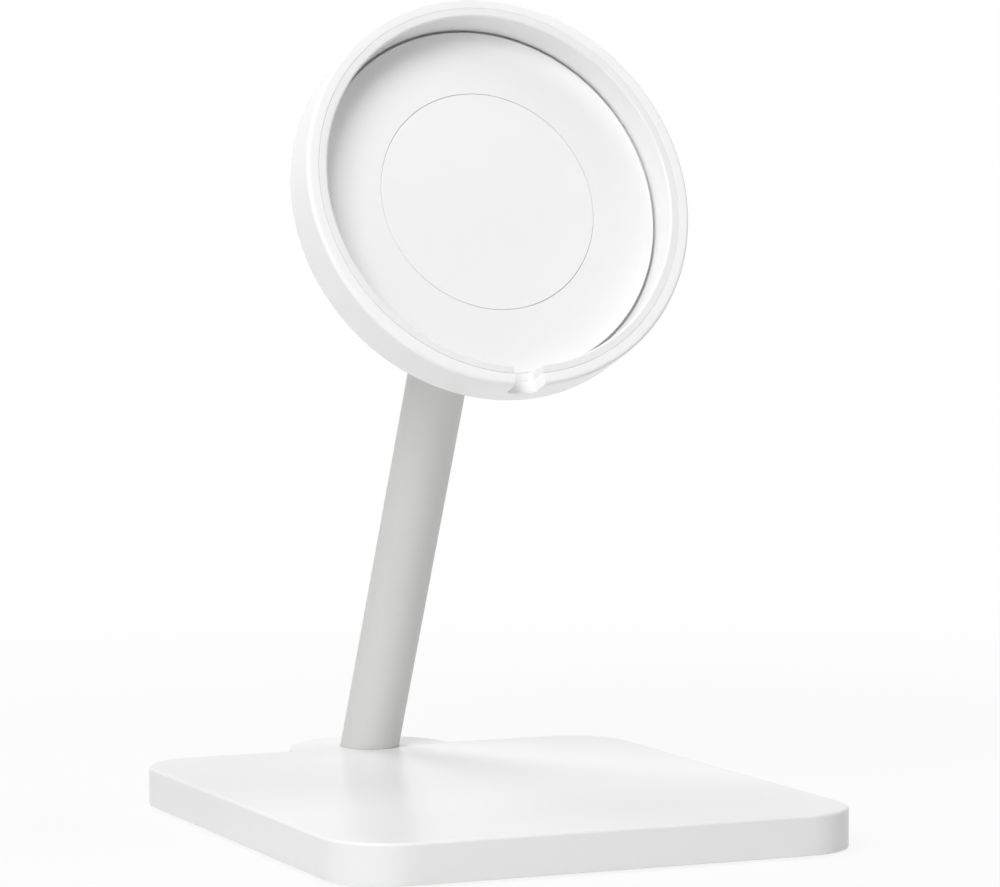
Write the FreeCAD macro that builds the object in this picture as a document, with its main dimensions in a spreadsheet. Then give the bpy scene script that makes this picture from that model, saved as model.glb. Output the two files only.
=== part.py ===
"""Charging stand: weighted base with a lobe at the back, leaning round stem, and a tilting round cup.

The frame has +Z up and +X to the right as the cup is faced. The front is -Y. The origin is on the
underside of the foot pad, at the middle of the base's rectangle. All lengths are in millimetres.
"""
import FreeCAD
import Part
import Sketcher
import math
import os

SIZES = {
    # Base
    "base_width": 84.0,
    "base_depth": 95.0,
    "corner_radius": 10.5,
    "lobe_radius": 13.7,
    "lobe_blend": 1.5,
    "cover_wall": 1.6,
    "cover_edge": 0.5,
    "plate_thickness": 2.5,
    "plate_gap": 0.3,
    "pad_thickness": 1.0,
    "pad_recess": 0.6,
    "pad_margin": 2.0,
    "pad_edge": 0.2,
    "boss_inset": 14.0,
    "boss_radius": 3.0,
    # Stem
    "stem_diameter": 9.6,
    "stem_wall": 1.2,
    "stem_lean": 25.0,
    "stem_setback": 1.2,
    "stem_reach": 96.3,
    "stem_hole_gap": 0.15,
    "flange_thickness": 1.4,
    "flange_gap": 1.6,
    "spigot_height": 14.0,
    "plug_length": 12.0,
    "plug_gap": 0.03,
    "collar_height": 2.0,
    "set_screw_depth": 6.0,
    "set_screw_bite": 0.8,
    "set_screw_recess": 0.1,
    "set_screw_key": 1.3,
    "set_screw_socket": 0.9,
    # Hinge
    "knuckle_radius": 4.0,
    "knuckle_thickness": 4.0,
    "knuckle_gap": 0.5,
    "lug_radius": 4.4,
    "lug_thickness": 3.2,
    "lug_foot": 7.0,
    "axle_radius": 1.5,
    "axle_gap": 0.05,
    "axle_thread_radius": 1.25,
    "axle_head_radius": 2.8,
    "axle_head_height": 1.5,
    "axle_recess": 0.1,
    "hex_key": 2.0,
    "hex_depth": 0.9,
    "counterbore_radius": 3.2,
    "washer_radius": 3.5,
    "washer_thickness": 0.4,
    "washer_gap": 0.05,
    "spring_radius": 2.9,
    "spring_thickness": 0.35,
    "spring_rise": 0.15,
    "nut_flats": 5.0,
    "nut_height": 1.6,
    "bracket_radius": 9.5,
    "bracket_thickness": 1.6,
    "bracket_edge": 0.4,
    "bracket_screw_circle": 7.0,
    # Head
    "face_tilt": 20.0,
    "recess_radius": 28.25,
    "recess_depth": 4.9,
    "lip_radius": 0.6,
    "liner_wall": 1.35,
    "liner_gap": 0.1,
    "liner_foot": 3.0,
    "liner_undercut": 0.6,
    "liner_relief": 0.2,
    "shell_side": 1.8,
    "shell_back": 1.6,
    "shell_front_edge": 0.6,
    "shell_back_edge": 1.2,
    "parting_edge": 0.12,
    "disc_thickness": 1.0,
    "disc_gap": 0.5,
    "disc_edge": 0.25,
    "centre_radius": 17.66,
    "centre_thickness": 0.5,
    "centre_gap": 0.08,
    "centre_edge": 0.1,
    "tape_thickness": 0.4,
    "tape_gap": 1.6,
    "notch_width": 4.7,
    "notch_depth": 3.5,
    "notch_corner": 0.8,
    # Screws
    "small_screw_radius": 1.0,
    "small_head_radius": 1.9,
    "stem_screw_radius": 1.5,
    "stem_head_radius": 2.8,
    "stem_screw_length": 8.0,
    "set_screw_radius": 1.25,
    "thread_gap": 0.05,
}

# Heights in the base, from the floor up
COVER_BOTTOM = "(Sizes.pad_thickness - Sizes.pad_recess)"
PLATE_TOP = "(Sizes.pad_thickness + Sizes.plate_thickness)"
ROOF = "(Sizes.pad_thickness + Sizes.plate_thickness + Sizes.flange_thickness)"
COVER_TOP = "(" + ROOF + " + Sizes.cover_wall)"
COVER_HEIGHT = "(" + COVER_TOP + " - " + COVER_BOTTOM + ")"

# Insets of the plate and the pad from the cover's outline
PLATE_INSET = "(Sizes.cover_wall + Sizes.plate_gap)"
PAD_INSET = "(" + PLATE_INSET + " + Sizes.pad_margin)"
BOSS_X = "(Sizes.base_width / 2 - Sizes.boss_inset)"
BOSS_Y = "(Sizes.base_depth / 2 - Sizes.boss_inset)"
BOSSES = [
    (BOSS_X, BOSS_Y),
    ("-" + BOSS_X, BOSS_Y),
    ("-" + BOSS_X, "-" + BOSS_Y),
    (BOSS_X, "-" + BOSS_Y),
]

# The stem's frame: origin where its axis meets the top of the cover, +Z up along the stem.
# Its slanted pieces start below that, and are then cut level.
LOBE_Y = "(Sizes.base_depth / 2)"
ROOT_Y = "(Sizes.base_depth / 2 + Sizes.stem_setback)"
STEM_FRAME = (ROOT_Y, COVER_TOP, "Sizes.stem_lean")
STEM_DROP = "(2 * Sizes.stem_diameter)"
STEM_START = (
    "(" + ROOT_Y + " + " + STEM_DROP + " * sin(Sizes.stem_lean))",
    "(" + COVER_TOP + " - " + STEM_DROP + " * cos(Sizes.stem_lean))",
    "Sizes.stem_lean",
)
STEM_RADIUS = "(Sizes.stem_diameter / 2)"
TUBE_BORE = "(Sizes.stem_diameter / 2 - Sizes.stem_wall)"
PLUG_RADIUS = "(" + TUBE_BORE + " - Sizes.plug_gap)"
KNUCKLE_SHOULDER = "(Sizes.lug_radius + Sizes.knuckle_gap)"
SHOULDER_Z = "(Sizes.stem_reach - " + KNUCKLE_SHOULDER + ")"
TUBE_TOP = "(" + SHOULDER_Z + " - Sizes.collar_height)"
SET_SCREW_Z = "(" + TUBE_TOP + " - Sizes.set_screw_depth)"

# The hinge axle, and the pieces along it from the middle outwards
AXLE_Y = "(" + ROOT_Y + " - Sizes.stem_reach * sin(Sizes.stem_lean))"
AXLE_Z = "(" + COVER_TOP + " + Sizes.stem_reach * cos(Sizes.stem_lean))"
WASHER_X = "(Sizes.knuckle_thickness / 2 + Sizes.washer_gap)"
LUG_X = "(" + WASHER_X + " + Sizes.washer_thickness)"
HINGE_HALF = "(" + LUG_X + " + Sizes.lug_thickness)"
AXLE_HEAD_X = "(" + HINGE_HALF + " - Sizes.axle_recess - Sizes.axle_head_height)"
SPRING_HEIGHT = "(Sizes.spring_thickness + Sizes.spring_rise)"
NUT_X = "(" + HINGE_HALF + " - Sizes.axle_recess - Sizes.nut_height)"
SPRING_X = "(" + NUT_X + " - " + SPRING_HEIGHT + ")"

# The head's frame: origin in the middle of its back, +Z out of the cup, +Y up across the face
STANDOFF = "(Sizes.bracket_thickness + Sizes.knuckle_gap + Sizes.knuckle_radius)"
HEAD_FRAME = (
    "(" + AXLE_Y + " - " + STANDOFF + " * cos(Sizes.face_tilt))",
    "(" + AXLE_Z + " + " + STANDOFF + " * sin(Sizes.face_tilt))",
    "(90 - Sizes.face_tilt)",
)
DISC_BOTTOM = "(Sizes.shell_back + Sizes.tape_thickness)"
FLOOR = "(" + DISC_BOTTOM + " + Sizes.disc_thickness)"
NOTCH_FLOOR = "(" + FLOOR + " + Sizes.recess_depth - Sizes.notch_depth)"
FRONT = "(" + FLOOR + " + Sizes.recess_depth + Sizes.lip_radius)"
LINER_RADIUS = "(Sizes.recess_radius + Sizes.liner_wall)"
LINER_FOOT = "(Sizes.recess_radius - Sizes.liner_foot)"
SHELL_BORE = "(" + LINER_RADIUS + " + Sizes.liner_gap)"
HEAD_RADIUS = "(" + SHELL_BORE + " + Sizes.shell_side)"
DISC_RADIUS = "(Sizes.recess_radius - Sizes.disc_gap)"
SCREW_OFFSET = "(Sizes.bracket_screw_circle * sin(45))"
BRACKET_SCREWS = [
    (SCREW_OFFSET, SCREW_OFFSET),
    ("-" + SCREW_OFFSET, SCREW_OFFSET),
    ("-" + SCREW_OFFSET, "-" + SCREW_OFFSET),
    (SCREW_OFFSET, "-" + SCREW_OFFSET),
]

X_AXIS = FreeCAD.Vector(1, 0, 0)
Y_AXIS = FreeCAD.Vector(0, 1, 0)
Z_AXIS = FreeCAD.Vector(0, 0, 1)
TOLERANCE = 1e-4

doc = FreeCAD.newDocument("ChargingStand")
sheet = doc.addObject("Spreadsheet::Sheet", "Sizes")
for row, (alias, size) in enumerate(SIZES.items(), start=1):
    sheet.set("A%d" % row, alias)
    sheet.set("B%d" % row, str(size))
    sheet.setAlias("B%d" % row, alias)
doc.recompute()
nodes = []


def value(expression):
    """The number that an expression gives with the sheet's present sizes."""
    result = sheet.evalExpression(expression)
    return float(getattr(result, "Value", result))


def node(obj, label):
    """Names a finished piece, which is then written to a file of that name."""
    obj.Label = label
    nodes.append(obj)
    return obj


def place(obj, frame):
    """Sets an object in a frame that is moved in Y and Z and turned about X."""
    y, z, angle = frame
    spot = FreeCAD.Vector(0, value(y), value(z))
    obj.Placement = FreeCAD.Placement(spot, FreeCAD.Rotation(X_AXIS, value(angle)))
    obj.setExpression("Placement.Base.y", y)
    obj.setExpression("Placement.Base.z", z)
    obj.setExpression("Placement.Rotation.Angle", angle)


def new_body(label, frame=None):
    body = doc.addObject("PartDesign::Body", label)
    if frame:
        place(body, frame)
    return node(body, label)


def new_sketch(body, name, role, height=None):
    """An empty sketch on one of the body's origin planes, or at a height above it."""
    sketch = body.newObject("Sketcher::SketchObject", name)
    plane = [part for part in body.Origin.OriginFeatures if part.Role == role]
    sketch.AttachmentSupport = [(plane[0], "")]
    sketch.MapMode = "FlatFace"
    if height:
        sketch.setExpression("AttachmentOffset.Base.z", height)
    return sketch


def locate(sketch, geometry, point, x, y):
    """Fixes a point of a sketch at X and Y from its origin."""
    for kind, expression, axis in (("DistanceX", x, -2), ("DistanceY", y, -1)):
        if expression == "0":
            sketch.addConstraint(Sketcher.Constraint("PointOnObject", geometry, point, axis))
        else:
            rule = Sketcher.Constraint(kind, -1, 1, geometry, point, value(expression))
            index = sketch.addConstraint(rule)
            sketch.setExpression("Constraints[%d]" % index, expression)


def set_radius(sketch, geometry, radius):
    index = sketch.addConstraint(Sketcher.Constraint("Radius", geometry, value(radius)))
    sketch.setExpression("Constraints[%d]" % index, radius)


def circles(body, name, role, radius, centres, height=None):
    """A sketch of equal circles."""
    sketch = new_sketch(body, name, role, height)
    for x, y in centres:
        middle = FreeCAD.Vector(value(x), value(y), 0)
        geometry = sketch.addGeometry(Part.Circle(middle, Z_AXIS, value(radius)))
        locate(sketch, geometry, 3, x, y)
        set_radius(sketch, geometry, radius)
    return sketch


def polygon(body, name, role, points, height=None):
    """A sketch of one closed outline of straight lines."""
    sketch = new_sketch(body, name, role, height)
    corners = [FreeCAD.Vector(value(x), value(y), 0) for x, y in points]
    count = len(corners)
    for k in range(count):
        sketch.addGeometry(Part.LineSegment(corners[k], corners[(k + 1) % count]))
    for k in range(count):
        sketch.addConstraint(Sketcher.Constraint("Coincident", k, 2, (k + 1) % count, 1))
        locate(sketch, k, 1, *points[k])
    return sketch


def rectangle(body, name, role, left, right, low, high, height=None):
    corners = [(left, low), (right, low), (right, high), (left, high)]
    return polygon(body, name, role, corners, height)


def arch(body, name, role, radius, centre, foot, half_foot, height=None):
    """A sketch of a round end on two legs, which leave the round at a tangent."""
    sketch = new_sketch(body, name, role, height)
    r, c, f, h = (value(expression) for expression in (radius, centre, foot, half_foot))
    side = 1 if f < c else -1
    reach = math.hypot(h, f - c)
    turn = math.acos(min(r / reach, 1.0)) - math.atan2(abs(f - c), h)
    tip = FreeCAD.Vector(r * math.cos(turn), c + side * r * math.sin(turn), 0)
    far_tip = FreeCAD.Vector(-tip.x, tip.y, 0)
    foot_right = FreeCAD.Vector(h, f, 0)
    foot_left = FreeCAD.Vector(-h, f, 0)
    crown = Part.Circle(FreeCAD.Vector(0, c, 0), Z_AXIS, r)
    span = (turn, math.pi - turn) if side > 0 else (math.pi + turn, 2 * math.pi - turn)
    arc = sketch.addGeometry(Part.ArcOfCircle(crown, *span))
    right = sketch.addGeometry(Part.LineSegment(foot_right, tip))
    left = sketch.addGeometry(Part.LineSegment(far_tip, foot_left))
    base = sketch.addGeometry(Part.LineSegment(foot_left, foot_right))
    arc_right, arc_left = (1, 2) if side > 0 else (2, 1)
    sketch.addConstraint(Sketcher.Constraint("Tangent", right, 2, arc, arc_right))
    sketch.addConstraint(Sketcher.Constraint("Tangent", left, 1, arc, arc_left))
    sketch.addConstraint(Sketcher.Constraint("Coincident", left, 2, base, 1))
    sketch.addConstraint(Sketcher.Constraint("Coincident", base, 2, right, 1))
    locate(sketch, arc, 3, "0", centre)
    set_radius(sketch, arc, radius)
    locate(sketch, right, 1, half_foot, foot)
    locate(sketch, left, 2, "-" + half_foot, foot)
    return sketch


def pad(body, name, sketch, length, middle=False, back=False):
    """Adds a sketch's outline, along its normal or back against it."""
    feature = body.newObject("PartDesign::Pad", name)
    feature.Profile = sketch
    feature.Midplane = middle
    feature.Reversed = back
    feature.setExpression("Length", length)
    doc.recompute()
    return feature


def pocket(body, name, sketch, length, middle=False, along=False):
    """Cuts a sketch's outline, against its normal or along it, and checks that it cut something."""
    before = body.Shape.Volume
    feature = body.newObject("PartDesign::Pocket", name)
    feature.Profile = sketch
    feature.Midplane = middle
    feature.Reversed = along
    feature.setExpression("Length", length)
    doc.recompute()
    if body.Shape.Volume > before - TOLERANCE:
        raise RuntimeError(name + " cuts nothing")
    return feature


def revolve(body, name, points):
    """Turns an outline of radius and height about the body's Z axis."""
    sketch = polygon(body, name + "_outline", "XZ_Plane", points)
    feature = body.newObject("PartDesign::Revolution", name)
    feature.Profile = sketch
    feature.ReferenceAxis = (sketch, ["V_Axis"])
    doc.recompute()
    return feature


def edges(feature, wanted):
    """The names of the edges that a test picks out by their shape."""
    return ["Edge%d" % k for k, edge in enumerate(feature.Shape.Edges, start=1) if wanted(edge)]


def dress(body, kind, name, feature, wanted, size):
    """Rounds or bevels the edges that a test picks out."""
    chosen = edges(feature, wanted)
    if not chosen:
        raise RuntimeError(name + " finds no edge")
    finish = body.newObject("PartDesign::" + kind, name)
    finish.Base = (feature, chosen)
    finish.setExpression("Radius" if kind == "Fillet" else "Size", size)
    doc.recompute()
    return finish


def ring_edge(radius, height):
    """A test for the round edges about the Z axis at a radius and height."""
    r, z = value(radius), value(height)

    def wanted(edge):
        curve = edge.Curve
        if not isinstance(curve, Part.Circle):
            return False
        centred = math.hypot(curve.Center.x, curve.Center.y) < TOLERANCE
        return centred and abs(curve.Radius - r) < TOLERANCE and abs(curve.Center.z - z) < TOLERANCE

    return wanted


def hole_edge(radius, height):
    """A test for the edges of small holes along Z, at a height."""
    r, z = value(radius), value(height)

    def wanted(edge):
        curve = edge.Curve
        if not isinstance(curve, Part.Circle):
            return False
        return abs(curve.Radius - r) < TOLERANCE and abs(curve.Center.z - z) < TOLERANCE

    return wanted


def level_edge(height):
    """A test for the edges that lie at one height."""
    z = value(height)
    return lambda edge: edge.BoundBox.ZMin > z - TOLERANCE and edge.BoundBox.ZMax < z + TOLERANCE


def upright(edge):
    return edge.BoundBox.ZLength > TOLERANCE and edge.BoundBox.XLength + edge.BoundBox.YLength < TOLERANCE


def slab(body, inset, bottom, thickness):
    """The base's outline as a plate: a rounded rectangle with the lobe in the middle of its back."""
    half_width = "(Sizes.base_width / 2 - " + inset + ")"
    half_depth = "(Sizes.base_depth / 2 - " + inset + ")"
    lobe = "(Sizes.lobe_radius - " + inset + ")"
    outline = rectangle(body, "outline", "XY_Plane", "-" + half_width, half_width,
                        "-" + half_depth, half_depth, bottom)
    pad(body, "block", outline, thickness)
    round_back = arch(body, "lobe_outline", "XY_Plane", lobe, LOBE_Y, "0", lobe, bottom)
    joined = pad(body, "lobe", round_back, thickness)
    side = value(half_width)

    def corner(edge):
        return upright(edge) and abs(abs(edge.BoundBox.Center.x) - side) < TOLERANCE

    def inner_corner(edge):
        return upright(edge) and abs(edge.BoundBox.Center.y - value(half_depth)) < TOLERANCE

    rounded = dress(body, "Fillet", "corners", joined, corner, "Sizes.corner_radius - " + inset)
    return dress(body, "Fillet", "lobe_corners", rounded, inner_corner, "Sizes.lobe_blend + " + inset)


def cylinder(name, radius, height):
    """A plain cylinder that stands on its own origin."""
    obj = doc.addObject("Part::Cylinder", name)
    obj.setExpression("Radius", radius)
    obj.setExpression("Height", height)
    return obj


def cone(name, low_radius, high_radius, height):
    obj = doc.addObject("Part::Cone", name)
    obj.setExpression("Radius1", low_radius)
    obj.setExpression("Radius2", high_radius)
    obj.setExpression("Height", height)
    return obj


def hexagon(name, flats, height):
    """A hexagonal prism, given its width across the flats."""
    obj = doc.addObject("Part::Prism", name)
    obj.Polygon = 6
    obj.setExpression("Circumradius", flats + " / 2 / cos(30)")
    obj.setExpression("Height", height)
    return obj


def move(obj, x="0", y="0", z="0"):
    """Puts an object's origin at a point."""
    for axis, expression in (("x", x), ("y", y), ("z", z)):
        obj.setExpression("Placement.Base." + axis, expression)
    return obj


def along_x(obj, x):
    """Lays a round piece on the hinge axle, from X outwards to the right."""
    obj.Placement = FreeCAD.Placement(FreeCAD.Vector(), FreeCAD.Rotation(Y_AXIS, 90))
    return move(obj, x, AXLE_Y, AXLE_Z)


def cut(name, base, tool):
    obj = doc.addObject("Part::Cut", name)
    obj.Base = base
    obj.Tool = tool
    return obj


def fuse(name, base, tool):
    obj = doc.addObject("Part::Fuse", name)
    obj.Base = base
    obj.Tool = tool
    return obj


def group(label, members):
    """Equal loose pieces that share one node."""
    obj = doc.addObject("Part::Compound", label)
    obj.Links = members
    return node(obj, label)


def level_cut(name, slanted, height):
    """Cuts a slanted piece of the stem off level at a height."""
    depth = "(2 * " + STEM_DROP + ")"
    tool = cylinder(name + "_tool", "2 * Sizes.lobe_radius", depth)
    return cut(name, slanted, move(tool, "0", LOBE_Y, height + " - " + depth))


def countersunk(name, radius, head_radius, length):
    """A countersunk screw that stands on its head, with its top flat at its origin."""
    head_height = "(" + head_radius + " - " + radius + ")"
    head = cone(name + "_head", head_radius, radius, head_height)
    return fuse(name, cylinder(name + "_shank", radius, length), head)


def base_cover():
    """Cast cover: a thin shell, open below, with four screw bosses and a slanted hole for the stem."""
    body = new_body("base_cover")
    solid = slab(body, "0", COVER_BOTTOM, COVER_HEIGHT)
    shell = body.newObject("PartDesign::Thickness", "hollow")
    bottom = [k for k, face in enumerate(solid.Shape.Faces, start=1)
              if abs(face.BoundBox.ZMax - value(COVER_BOTTOM)) < TOLERANCE]
    shell.Base = (solid, ["Face%d" % k for k in bottom])
    shell.setExpression("Value", "Sizes.cover_wall")
    shell.Reversed = True
    doc.recompute()
    dress(body, "Fillet", "top_edge", shell, level_edge(COVER_TOP), "Sizes.cover_edge")
    bosses = circles(body, "boss_circles", "XY_Plane", "Sizes.boss_radius", BOSSES, PLATE_TOP)
    pad(body, "bosses", bosses, "Sizes.flange_thickness")
    thread = "(Sizes.small_screw_radius + Sizes.thread_gap)"
    threads = circles(body, "thread_circles", "XY_Plane", thread, BOSSES, PLATE_TOP)
    pocket(body, "threads", threads, "Sizes.flange_thickness + Sizes.cover_wall / 2", along=True)
    hole = new_sketch(body, "stem_circle", "XY_Plane")
    hole.AttachmentOffset = FreeCAD.Placement(FreeCAD.Vector(), FreeCAD.Rotation(X_AXIS, 1))
    hole.setExpression("AttachmentOffset.Base.y", ROOT_Y)
    hole.setExpression("AttachmentOffset.Base.z", COVER_TOP)
    hole.setExpression("AttachmentOffset.Rotation.Angle", "Sizes.stem_lean")
    radius = STEM_RADIUS + " + Sizes.stem_hole_gap"
    ring = hole.addGeometry(Part.Circle(FreeCAD.Vector(), Z_AXIS, value(radius)))
    locate(hole, ring, 3, "0", "0")
    set_radius(hole, ring, radius)
    pocket(body, "stem_hole", hole, STEM_DROP, middle=True)


def ballast_plate():
    """Steel plate that fills the cover, countersunk from below for the screws."""
    body = new_body("ballast_plate")
    slab(body, PLATE_INSET, "Sizes.pad_thickness", "Sizes.plate_thickness")
    small = "(Sizes.small_screw_radius + Sizes.thread_gap)"
    large = "(Sizes.stem_screw_radius + Sizes.thread_gap)"
    for name, radius, head, centres in (
        ("cover_screw", small, "Sizes.small_head_radius", BOSSES),
        ("stem_screw", large, "Sizes.stem_head_radius", [("0", ROOT_Y)]),
    ):
        holes = circles(body, name + "_circles", "XY_Plane", radius, centres, "Sizes.pad_thickness")
        drilled = pocket(body, name + "_holes", holes, "Sizes.plate_thickness", along=True)
        mouth = hole_edge(radius, "Sizes.pad_thickness")
        dress(body, "Chamfer", name + "_sinks", drilled, mouth, head + " + Sizes.thread_gap - " + radius)


def foot_pad():
    """Silicone sheet stuck under the plate: the only piece that touches the desk."""
    body = new_body("foot_pad")
    sheet_solid = slab(body, PAD_INSET, "0", "Sizes.pad_thickness")
    dress(body, "Fillet", "soft_edge", sheet_solid, level_edge("0"), "Sizes.pad_edge")


def cover_screws():
    """Four countersunk screws up through the plate into the cover's bosses."""
    length = "Sizes.plate_thickness + Sizes.flange_thickness"
    screws = []
    for k, (x, y) in enumerate(BOSSES, start=1):
        screw = countersunk("cover_screw_%d" % k, "Sizes.small_screw_radius",
                            "Sizes.small_head_radius", length)
        screws.append(move(screw, x, y, "Sizes.pad_thickness"))
    group("cover_screws", screws)


def stem_foot():
    """Cast foot of the stem: a flange held under the roof of the lobe, and a slanted spigot."""
    radius = "Sizes.lobe_radius - Sizes.cover_wall - Sizes.flange_gap"
    flange = move(cylinder("foot_flange", radius, "Sizes.flange_thickness"), "0", LOBE_Y, PLATE_TOP)
    spigot = cylinder("foot_spigot", PLUG_RADIUS, "Sizes.spigot_height + " + STEM_DROP)
    place(spigot, STEM_START)
    trimmed = level_cut("foot_trimmed", fuse("foot_cast", flange, spigot), PLATE_TOP)
    thread = "Sizes.stem_screw_radius + Sizes.thread_gap"
    tapped = cylinder("foot_thread", thread, "Sizes.stem_screw_length")
    move(tapped, "0", ROOT_Y, "Sizes.pad_thickness + Sizes.thread_gap")
    node(cut("stem_foot", trimmed, tapped), "stem_foot")


def stem_screw():
    """Countersunk screw that pulls the stem's foot down onto the plate."""
    screw = countersunk("stem_screw", "Sizes.stem_screw_radius", "Sizes.stem_head_radius",
                        "Sizes.stem_screw_length")
    node(move(screw, "0", ROOT_Y, "Sizes.pad_thickness"), "stem_screw")


def stem_tube():
    """Aluminium tube: cut level at its foot, square at its top, with a set screw hole at the back."""
    length = STEM_DROP + " + " + TUBE_TOP
    outside = cylinder("tube_outside", STEM_RADIUS, length)
    inside = cylinder("tube_inside", TUBE_BORE, length)
    for piece in (outside, inside):
        place(piece, STEM_START)
    drill = cylinder("tube_drill", "Sizes.set_screw_radius + Sizes.thread_gap", "Sizes.stem_diameter")
    place(drill, set_screw_frame("0"))
    trimmed = level_cut("tube_trimmed", cut("tube_hollow", outside, inside), ROOF)
    node(cut("stem_tube", trimmed, drill), "stem_tube")


def set_screw_frame(distance):
    """A frame whose +Z points out of the back of the stem, at a distance from the stem's axis."""
    rise = SET_SCREW_Z + " * cos(Sizes.stem_lean) + " + distance + " * sin(Sizes.stem_lean)"
    shift = distance + " * cos(Sizes.stem_lean) - " + SET_SCREW_Z + " * sin(Sizes.stem_lean)"
    return ("(" + ROOT_Y + " + " + shift + ")", "(" + COVER_TOP + " + " + rise + ")",
            "(Sizes.stem_lean - 90)")


def stem_knuckle():
    """Turned and milled top of the stem: a plug in the tube, a collar, and the hinge's tongue."""
    body = new_body("stem_knuckle", STEM_FRAME)
    plug_bottom = "(" + TUBE_TOP + " - Sizes.plug_length)"
    collar_bottom = TUBE_TOP
    revolve(body, "turned", [
        ("0", plug_bottom),
        (PLUG_RADIUS, plug_bottom),
        (PLUG_RADIUS, collar_bottom),
        (STEM_RADIUS, collar_bottom),
        (STEM_RADIUS, SHOULDER_Z),
        ("0", SHOULDER_Z),
    ])
    tongue = arch(body, "tongue_outline", "YZ_Plane", "Sizes.knuckle_radius", "Sizes.stem_reach",
                  SHOULDER_Z, "Sizes.knuckle_radius")
    pad(body, "tongue", tongue, "Sizes.knuckle_thickness", middle=True)
    bore = circles(body, "axle_circle", "YZ_Plane", "Sizes.axle_radius + Sizes.axle_gap",
                   [("0", "Sizes.stem_reach")])
    pocket(body, "axle_bore", bore, "2 * Sizes.knuckle_thickness", middle=True)
    dimple = circles(body, "dimple_circle", "XZ_Plane", "Sizes.set_screw_radius + Sizes.thread_gap",
                     [("0", SET_SCREW_Z)], "-(" + PLUG_RADIUS + " - Sizes.set_screw_bite)")
    pocket(body, "dimple", dimple, "Sizes.stem_diameter")


def stem_set_screw():
    """Set screw through the back of the tube, with its point in the knuckle's dimple."""
    start = "(" + PLUG_RADIUS + " - Sizes.set_screw_bite)"
    end = "(" + STEM_RADIUS + " - Sizes.set_screw_recess)"
    screw = cylinder("set_screw_body", "Sizes.set_screw_radius", end + " - " + start)
    key = hexagon("set_screw_key", "Sizes.set_screw_key", "Sizes.set_screw_socket")
    place(screw, set_screw_frame(start))
    place(key, set_screw_frame("(" + end + " - Sizes.set_screw_socket)"))
    node(cut("stem_set_screw", screw, key), "stem_set_screw")


def hinge_bracket():
    """Cast bracket on the back of the head: a round flange with two lugs that flare into it."""
    body = new_body("hinge_bracket", HEAD_FRAME)
    flange = circles(body, "flange_circle", "XY_Plane", "Sizes.bracket_radius", [("0", "0")])
    disc = pad(body, "flange", flange, "Sizes.bracket_thickness", back=True)
    rim = ring_edge("Sizes.bracket_radius", "-Sizes.bracket_thickness")
    dress(body, "Fillet", "flange_edge", disc, rim, "Sizes.bracket_edge")
    centre = "(-" + STANDOFF + ")"
    floor = "(-Sizes.bracket_thickness)"
    lugs = arch(body, "lug_outline", "YZ_Plane", "Sizes.lug_radius", centre, floor, "Sizes.lug_foot")
    pad(body, "lugs", lugs, "2 * " + HINGE_HALF, middle=True)
    wide = "(2 * Sizes.lug_foot)"
    gap = rectangle(body, "gap_outline", "YZ_Plane", "-" + wide, wide,
                    "(" + centre + " - 2 * Sizes.lug_radius)", floor)
    pocket(body, "gap", gap, "2 * " + LUG_X, middle=True)
    axle = circles(body, "axle_circle", "YZ_Plane", "Sizes.axle_radius + Sizes.axle_gap", [("0", centre)])
    pocket(body, "axle_holes", axle, "3 * " + HINGE_HALF, middle=True)
    deep = HINGE_HALF + " - " + SPRING_X
    shallow = HINGE_HALF + " - " + AXLE_HEAD_X
    for name, plane, depth, along in (
        ("nut_seat", HINGE_HALF, deep, False),
        ("head_seat", "-" + HINGE_HALF, shallow, True),
    ):
        ring = circles(body, name + "_circle", "YZ_Plane", "Sizes.counterbore_radius",
                       [("0", centre)], plane)
        pocket(body, name, ring, depth, along=along)
    threads = circles(body, "thread_circles", "XY_Plane", "Sizes.small_screw_radius + Sizes.thread_gap",
                      BRACKET_SCREWS)
    pocket(body, "threads", threads, "Sizes.bracket_thickness")


def friction_washers():
    """One washer each side of the tongue: their drag holds the head where it is set."""
    washers = []
    for name, start in (("right", WASHER_X), ("left", "-" + LUG_X)):
        disc = along_x(cylinder(name + "_washer_disc", "Sizes.washer_radius", "Sizes.washer_thickness"),
                       start)
        hole = along_x(cylinder(name + "_washer_hole", "Sizes.axle_radius + Sizes.axle_gap",
                                "Sizes.washer_thickness"), start)
        washers.append(cut(name + "_washer", disc, hole))
    group("friction_washers", washers)


def hinge_screw():
    """Shoulder screw: a flat head with a hex socket, a plain axle, and a thinner threaded end."""
    head = along_x(cylinder("axle_head", "Sizes.axle_head_radius", "Sizes.axle_head_height"),
                   "-(" + AXLE_HEAD_X + " + Sizes.axle_head_height)")
    axle = along_x(cylinder("axle", "Sizes.axle_radius", AXLE_HEAD_X + " + " + SPRING_X),
                   "-" + AXLE_HEAD_X)
    thread = along_x(cylinder("axle_thread", "Sizes.axle_thread_radius", HINGE_HALF + " - "
                              + SPRING_X + " - Sizes.axle_recess"), SPRING_X)
    key = along_x(hexagon("axle_key", "Sizes.hex_key", "Sizes.hex_depth"),
                  "-(" + AXLE_HEAD_X + " + Sizes.axle_head_height)")
    turned = fuse("axle_turned", fuse("axle_and_head", head, axle), thread)
    node(cut("hinge_screw", turned, key), "hinge_screw")


def spring_washer():
    """Dished washer between the lug and the nut."""
    body = new_body("spring_washer")
    inner = "(Sizes.axle_thread_radius + Sizes.axle_gap)"
    revolve(body, "dish", [
        (inner, "Sizes.spring_rise"),
        ("Sizes.spring_radius", "0"),
        ("Sizes.spring_radius", "Sizes.spring_thickness"),
        (inner, SPRING_HEIGHT),
    ])
    along_x(body, SPRING_X)


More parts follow.
